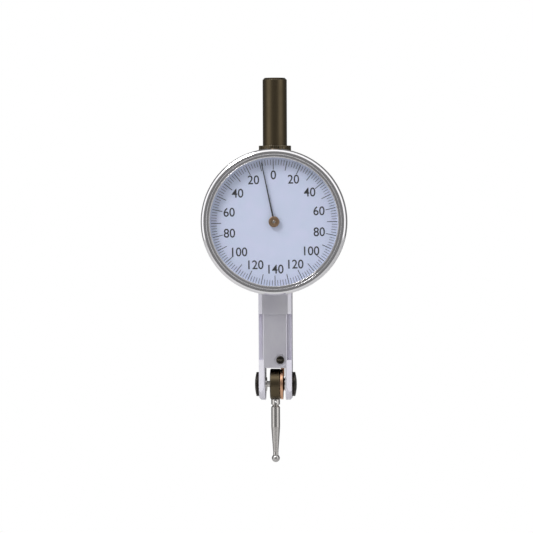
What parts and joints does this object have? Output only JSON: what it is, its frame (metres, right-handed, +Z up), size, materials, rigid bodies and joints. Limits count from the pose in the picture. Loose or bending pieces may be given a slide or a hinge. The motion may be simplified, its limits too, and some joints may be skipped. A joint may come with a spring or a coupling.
{
  "type": "dial test indicator",
  "caption": "Lever-type dial test indicator: swivelling ball stylus, dovetailed arm, geared movement, rotating bezel with dial, and a round mounting stem.",
  "frame": {"origin": "on the stem's axis where the stem leaves its collar", "axes": "+Z up along the stem, -Y out of the dial towards its reader, X along the stylus pivot"},
  "size_m": [0.036, 0.0136, 0.0953],
  "materials": {
    "satin_chrome": "satin chromed, fine machining grain",
    "polished_chrome": "polished chromed ring",
    "black_oxide": "turned steel, brown-black oxide",
    "polished_steel": "polished turned steel",
    "carbide": "lapped ball",
    "copper_alloy": "satin bronze",
    "movement_brass": "brushed brass",
    "jewel": "polished synthetic ruby",
    "clear_crystal": "clear polished crystal",
    "gasket_plastic": "matte",
    "dial_enamel": "satin pale blue-grey enamel with black graduations",
    "pointer_black": "matte black"
  },
  "bodies": {
    "case": {"body_frame": "satin_chrome", "stem": "black_oxide", "stem_collar": "black_oxide", "rear_cover": "satin_chrome", "rear_cover_screws": "black_oxide", "arm_cover": "satin_chrome", "arm_cover_screws": "black_oxide", "front_screw": "black_oxide", "pivot_screw_left": "black_oxide", "pivot_screw_right": "black_oxide", "pivot_washer_left": "black_oxide", "pivot_washer_right": "black_oxide", "sector_pivot_screws": "black_oxide", "movement_plate": "movement_brass", "movement_plate_screws": "polished_steel", "bridge_left": "movement_brass", "bridge_right": "movement_brass", "bridge_screws": "polished_steel", "centre_jewels": "jewel", "arbor_jewels": "jewel", "hairspring_stud": "movement_brass"},
    "bezel_ring": {"bezel": "polished_chrome", "crystal": "clear_crystal", "crystal_gasket": "gasket_plastic", "dial_plate": "dial_enamel", "dial_retainer": "polished_steel", "bezel_snap_ring": "polished_steel"},
    "pointer_train": {"pointer": "pointer_black", "pointer_boss": "copper_alloy", "centre_pinion": "polished_steel", "hairspring_collet": "movement_brass", "hairspring": "polished_steel"},
    "crown_train": {"crown_wheel": "movement_brass", "crown_arbor": "polished_steel"},
    "sector_train": {"sector_gear": "movement_brass", "sector_arbor": "polished_steel"},
    "lever": {"measuring_lever": "copper_alloy", "lever_shaft": "black_oxide", "clutch_spring": "copper_alloy", "clutch_nut": "black_oxide"},
    "stylus": {"stylus_hub": "black_oxide", "stylus_shank": "polished_steel", "contact_ball": "carbide"}
  },
  "joints": [
    {"name": "bezel_turn", "type": "hinge", "parent": "case", "child": "bezel_ring", "pos_m": [0, 0, -0.0188], "axis": [0, 1, 0], "continuous": true},
    {"name": "pointer_spin", "type": "hinge", "parent": "case", "child": "pointer_train", "pos_m": [0, 0, -0.0188], "axis": [0, 1, 0], "range_deg": [0, 360], "stiffness_Nm_per_rad": 0.0000003, "springref_deg": -719.98, "deforming": ["hairspring"]},
    {"name": "crown_spin", "type": "hinge", "parent": "case", "child": "crown_train", "pos_m": [0, 0, -0.0188], "axis": [1, 0, 0], "range_deg": [-60, 0]},
    {"name": "sector_swing", "type": "hinge", "parent": "case", "child": "sector_train", "pos_m": [0, 0, -0.03705], "axis": [1, 0, 0], "range_deg": [0, 2.57]},
    {"name": "lever_swing", "type": "hinge", "parent": "case", "child": "lever", "pos_m": [0, 0, -0.0591], "axis": [1, 0, 0], "range_deg": [-0.87189, 0]},
    {"name": "stylus_swivel", "type": "hinge", "parent": "lever", "child": "stylus", "pos_m": [0, 0, -0.0591], "axis": [1, 0, 0], "range_deg": [-110, 110]}
  ],
  "couplings": [
    {"joint": "pointer_spin", "follows": "lever_swing", "ratio": -412.9},
    {"joint": "crown_spin", "follows": "lever_swing", "ratio": 68.816},
    {"joint": "sector_swing", "follows": "lever_swing", "ratio": -2.9493}
  ]
}
